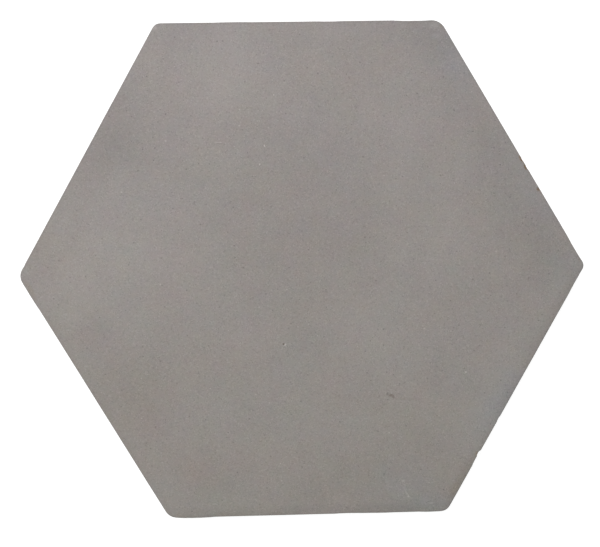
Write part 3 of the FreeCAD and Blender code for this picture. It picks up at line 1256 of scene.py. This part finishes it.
@dataclass(frozen=True)
class PressedCement:
    """The finish of the tile: fine sand and cement, pressed smooth on the face."""

    name: str = "pressed_cement"
    color: tuple[float, float, float] = (0.2885, 0.2655, 0.2495)
    specular: float = 0.25
    warm_drift: float = 9e-5
    green_drift: float = 1.0e-4
    flank_start: float = 0.4
    flank_full: float = 2.2
    cloud_wander: Wander = Wander(size=22.0, reach=6.0)
    cloud_depth: float = 12.0
    mark_wander: Wander = Wander(size=1.6, reach=0.35)
    mark_depth: float = 2.5
    # The pinholes' darker colour is painted shade inside the holes; pinhole_depth sinks them in
    # the bump.
    pinholes: Specks = Specks(spacing=2.2, radius=0.26, share=0.55, lighter=-0.56)
    pinhole_depth: float = 0.12
    limes: Specks = Specks(spacing=4.0, radius=0.24, share=0.30, lighter=0.85)
    lime_shift: tuple[float, float, float] = (31.0, 17.0, 5.0)
    sand_size: float = 0.42
    sand_contrast: float = 1.20
    sand_relief: float = 0.012
    coarse_size: float = 1.1
    coarse_contrast: float = 1.30
    coarse_relief: float = 0.22
    coarse_on_sides: float = 0.35
    bedding_lift: float = 0.05
    rub_stretch: tuple[float, float, float] = (1.1, 1.1, 0.05)
    rub_contrast: float = 0.16
    rub_relief: float = 0.10
    matte: float = 0.78
    matte_size: float = 12.0
    matte_swing: float = 0.16
    rougher_sides: float = 0.10

    def make(self, effects: Effects) -> bpy.types.Material:
        """Makes the material.

        Args:
            effects: The shared node groups.

        Returns:
            The material, ready to put in a slot.
        """
        material = bpy.data.materials.new(self.name)
        wiring = Wiring.cleared(material)
        here = wiring.scaled(wiring.node("ShaderNodeTexCoord").outputs["Object"], 1 / MM)
        from_edge = wiring.node("ShaderNodeAttribute", attribute_name=FROM_EDGE).outputs["Fac"]
        bedding = wiring.node("ShaderNodeAttribute", attribute_name=BEDDING).outputs["Fac"]
        place = wiring.fed(wiring.node("ShaderNodeSeparateXYZ"), Vector=here).outputs
        ends = (THICKNESS - self.flank_start, THICKNESS - self.flank_full)
        flank = wiring.fade(place["Z"], *ends)
        ground = Ground(wiring, effects, here, place["Z"], flank, from_edge, bedding)
        ground.tone.warmer = wiring.math("MULTIPLY", place["Y"], -self.warm_drift)
        ground.tone.greener = wiring.math("MULTIPLY", place["Y"], -self.green_drift)
        self._cloud(ground, CLOUDS, self.cloud_wander, self.cloud_depth)
        self._cloud(ground, MARKS, self.mark_wander, self.mark_depth)
        self._edge(ground)
        relief = self._grain(ground)
        total = wiring.vector("ADD", ground.tone.joined(wiring), self._mottled(ground))

        body = wiring.group(effects.toned, color=(*self.color, 1.0), tone=total)
        bump = wiring.fed(wiring.node("ShaderNodeBump"), Strength=1.0, Distance=MM, Height=relief)
        shader = wiring.fed(
            wiring.node("ShaderNodeBsdfPrincipled"),
            Base_Color=body.outputs["Color"],
            Roughness=self._roughness(ground),
            Specular_IOR_Level=self.specular,
            Normal=bump.outputs["Normal"],
        )
        out = wiring.node("ShaderNodeOutputMaterial")
        wiring.fed(out, Surface=shader.outputs["BSDF"])
        return material

    def _cloud(
        self, ground: Ground, patches: Iterable[Patch], wander: Wander, depth: float
    ) -> None:
        """Adds clouds or marks to the tone, fading out down the sides.

        Args:
            ground: What the finish reads, and its tone.
            patches: The clouds or marks.
            wander: How their outlines stray.
            depth: How far below the face they have all faded out.
        """
        wiring = ground.wiring
        vector = self._wandering(ground, wander)
        layer = Tone()
        for patch in patches:
            spot = wiring.group(
                ground.effects.patch,
                vector=vector,
                place=(patch.x, patch.y, 0.0),
                along=tuple(unit(patch.turn) / patch.half_length),
                across=tuple(unit(patch.turn + 90) / patch.half_width),
                softness=patch.softness,
            )
            spot.label = patch.name
            layer.add(wiring, spot.outputs["Mask"], patch)
        near_face = wiring.fade(ground.height, THICKNESS - depth, THICKNESS - depth / 3)
        ground.tone.lay(wiring, near_face, layer)

    def _wandering(self, ground: Ground, wander: Wander) -> bpy.types.NodeSocket:
        """Moves the place looked up a little by noise, level with the face.

        Args:
            ground: What the finish reads.
            wander: The noise's size and reach.

        Returns:
            The moved place.
        """
        wiring = ground.wiring
        drift = wiring.noise(ground.here, scale=1.0 / wander.size, detail=2.0)
        level = wiring.vector("SUBTRACT", drift.outputs["Color"], NOISE_MEAN)
        flat = wiring.vector("MULTIPLY", level, (wander.reach * 2, wander.reach * 2, 0.0))
        return wiring.vector("ADD", ground.here, flat)

    def _edge(self, ground: Ground) -> None:
        """Adds painted shade along the sides to the tone: a band of darker face at the rim.

        Args:
            ground: What the finish reads, and its tone.
        """
        for band in EDGE_SHADE_BANDS:
            shade_strip = ground.wiring.group(
                ground.effects.side_band,
                vector=ground.here,
                facing=tuple(unit(band.side.value)),
                from_edge=ground.from_edge,
                width=band.width,
            )
            shade_strip.label = f"{band.side.name.lower()}_edge"
            ground.tone.add(ground.wiring, shade_strip.outputs["Mask"], band)

    def _mottled(self, ground: Ground) -> Fed:
        """Adds up the uneven pigment of all sizes.

        Args:
            ground: What the finish reads.

        Returns:
            Lighter, warmer and greener as one vector.
        """
        total: Fed = (0.0, 0.0, 0.0)
        for size, strength in MOTTLING.items():
            part = ground.wiring.group(
                ground.effects.mottling, vector=ground.here, size=size, strength=strength
            )
            total = ground.wiring.vector("ADD", part.outputs["Tone"], total)
        return total

    def _sprinkled(self, ground: Ground, specks: Specks, here: Fed) -> bpy.types.NodeSocket:
        """Places one scatter of specks.

        Args:
            ground: What the finish reads.
            specks: The scatter.
            here: Where it is read.

        Returns:
            Its mask.
        """
        scatter = ground.wiring.group(
            ground.effects.specks,
            vector=here,
            spacing=specks.spacing,
            radius=specks.radius,
            share=specks.share,
        )
        return scatter.outputs["Mask"]

    def _grain(self, ground: Ground) -> bpy.types.NodeSocket:
        """Adds sand grains, painted shade in the pinholes, lime specks and rubbing to the tone.

        Args:
            ground: What the finish reads, and its tone.

        Returns:
            The height of all of it, in millimetres.
        """
        wiring, effects, here = ground.wiring, ground.effects, ground.here
        sand = wiring.group(effects.grain, vector=here, size=self.sand_size).outputs
        shade = wiring.math("MULTIPLY", sand["Level"], self.sand_contrast)
        shaded_holes = self._sprinkled(ground, self.pinholes, here)
        # Painted shade inside the pinholes.
        shade = wiring.math("MULTIPLY_ADD", shaded_holes, self.pinholes.lighter, shade)
        shifted = wiring.vector("ADD", here, self.lime_shift)
        limes = self._sprinkled(ground, self.limes, shifted)
        shade = wiring.math("MULTIPLY_ADD", limes, self.limes.lighter, shade)

        stretched = wiring.vector("MULTIPLY", here, self.rub_stretch)
        rubbed = wiring.noise(stretched, scale=1.0, detail=3.0)
        streak = wiring.math("SUBTRACT", rubbed.outputs["Fac"], 0.5)
        streak = wiring.math("MULTIPLY", streak, ground.flank)
        shade = wiring.math("MULTIPLY_ADD", streak, self.rub_contrast, shade)

        coarse = wiring.group(effects.grain, vector=here, size=self.coarse_size).outputs
        sides = wiring.math("MULTIPLY", ground.flank, self.coarse_on_sides)
        sandy = wiring.math("MAXIMUM", ground.bedding, sides)
        level = wiring.math("MULTIPLY", coarse["Level"], sandy)
        shade = wiring.math("MULTIPLY_ADD", level, self.coarse_contrast, shade)
        lift = wiring.math("MULTIPLY", ground.bedding, self.bedding_lift)
        shade = wiring.math("ADD", shade, lift)
        ground.tone.lighter = wiring.math("ADD", shade, ground.tone.lighter)

        relief = wiring.math("MULTIPLY", sand["Height"], self.sand_relief)
        relief = wiring.math("MULTIPLY_ADD", shaded_holes, -self.pinhole_depth, relief)
        relief = wiring.math("MULTIPLY_ADD", streak, self.rub_relief, relief)
        rough = wiring.math("MULTIPLY", coarse["Height"], sandy)
        return wiring.math("MULTIPLY_ADD", rough, self.coarse_relief, relief)

    def _roughness(self, ground: Ground) -> bpy.types.NodeSocket:
        """Makes it matte all over, a little smoother where the face is densest.

        Args:
            ground: What the finish reads.

        Returns:
            The roughness.
        """
        wiring = ground.wiring
        dense = wiring.group(
            ground.effects.mottling,
            vector=ground.here,
            size=self.matte_size,
            strength=(self.matte_swing, 0.0, 0.0),
        )
        level = wiring.vector("DOT_PRODUCT", dense.outputs["Tone"], (1.0, 0.0, 0.0))
        level = wiring.math("ADD", level, self.matte)
        return wiring.math("MULTIPLY_ADD", ground.flank, self.rougher_sides, level)


@dataclass
class Studio:
    """The white table, the soft lamp above its upper left, and the camera over the tile."""

    lamp_place: tuple[float, float, float] = (-230.0, 340.0, 816.0)
    lamp_size: float = 500.0
    lamp_power: float = 5.82
    sky_level: float = 0.40
    table_reach: float = 4000.0
    table_drop: float = 0.05
    table_shade: float = 0.80
    table_shade_seen: float = 0.35
    table_glow: float = 0.875
    camera_place: tuple[float, float, float] = (-11.32, 17.75, 418.91)
    camera_turn: tuple[float, float, float] = (-2.630, -1.457, -1.149)
    lens: float = 60.0
    sensor: float = 36.0
    clip: tuple[float, float] = (10.0, 20000.0)

    def set_up(self) -> None:
        """Makes the table, the lamp, the sky and the camera."""
        bpy.context.scene.view_settings.view_transform = "Standard"
        self._lay_table()
        self._hang_lamp()
        self._light_sky()
        self._place_camera()

    def _lay_table(self) -> None:
        """Lays the table just under the tile."""
        bm = bmesh.new()
        bmesh.ops.create_grid(bm, x_segments=1, y_segments=1, size=self.table_reach * MM)
        bmesh.ops.translate(bm, vec=(0, 0, -self.table_drop * MM), verts=bm.verts)
        table = shown("white_table", finished(bm, "white_table"))
        table.data.materials.append(self._table_paper())

    def _seen_straight(self, wiring: Wiring) -> bpy.types.NodeSocket:
        """Tells the rays of the camera, and of mirrors and glass, from those of light.

        Args:
            wiring: The wiring of the table's paper or of the sky.

        Returns:
            1 for the first kind and 0 for the other.
        """
        ray = wiring.node("ShaderNodeLightPath").outputs
        seen = wiring.math("MAXIMUM", ray["Is Camera Ray"], ray["Is Glossy Ray"])
        return wiring.math("MAXIMUM", seen, ray["Is Transmission Ray"])

    def _table_paper(self) -> bpy.types.Material:
        """Makes paper that reads as pure white, and darkens only where a shadow is deep.

        Returns:
            The material.
        """
        material = bpy.data.materials.new("white_paper")
        wiring = Wiring.cleared(material)
        lit, thin = (
            wiring.fed(wiring.node("ShaderNodeBsdfDiffuse"), Color=(shade, shade, shade, 1.0))
            for shade in (self.table_shade, self.table_shade_seen)
        )
        glow = wiring.fed(wiring.node("ShaderNodeEmission"), Strength=self.table_glow)
        both = wiring.node("ShaderNodeAddShader")
        wiring.feed(both.inputs[0], thin.outputs["BSDF"])
        wiring.feed(both.inputs[1], glow.outputs["Emission"])
        choose = wiring.node("ShaderNodeMixShader")
        wiring.feed(choose.inputs["Fac"], self._seen_straight(wiring))
        wiring.feed(choose.inputs[1], lit.outputs["BSDF"])
        wiring.feed(choose.inputs[2], both.outputs["Shader"])
        out = wiring.node("ShaderNodeOutputMaterial")
        wiring.fed(out, Surface=choose.outputs["Shader"])
        return material

    def _hang_lamp(self) -> None:
        """Hangs the soft lamp, facing straight down."""
        lamp = bpy.data.lights.new("soft_lamp", "AREA")
        lamp.shape = "DISK"
        lamp.size = self.lamp_size * MM
        lamp.energy = self.lamp_power
        shown("soft_lamp", lamp).location = Vector(self.lamp_place) * MM

    def _light_sky(self) -> None:
        """Lights the room evenly, and shows it as white behind the table."""
        sky = bpy.data.worlds.new("pale_room")
        wiring = Wiring.cleared(sky)
        seen = self._seen_straight(wiring)
        level = wiring.math("MULTIPLY_ADD", seen, 1.0 - self.sky_level, self.sky_level)
        even = wiring.node("ShaderNodeBackground")
        wiring.fed(even, Color=(1.0, 1.0, 1.0, 1.0), Strength=level)
        out = wiring.node("ShaderNodeOutputWorld")
        wiring.fed(out, Surface=even.outputs["Background"])
        bpy.context.scene.world = sky

    def _place_camera(self) -> None:
        """Puts the camera over the tile, looking down as the photographer did."""
        camera = bpy.data.cameras.new("overhead")
        camera.lens = self.lens
        camera.sensor_width = self.sensor
        camera.clip_start, camera.clip_end = (end * MM for end in self.clip)
        held = shown("overhead", camera)
        held.location = Vector(self.camera_place) * MM
        held.rotation_euler = [math.radians(angle) for angle in self.camera_turn]
        bpy.context.scene.camera = held


def main() -> None:
    """Builds the tile and the studio round it."""
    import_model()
    Studio().set_up()
    tile = PressedTile().build()
    tile.data.materials.append(PressedCement().make(Effects()))
    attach(tile, "root")
    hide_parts(NODE)
    LOG.info("%s: %d faces", tile.name, len(tile.data.polygons))


if __name__ == "__main__":
    logging.basicConfig(level=logging.INFO, format="%(name)s: %(message)s")
    main()
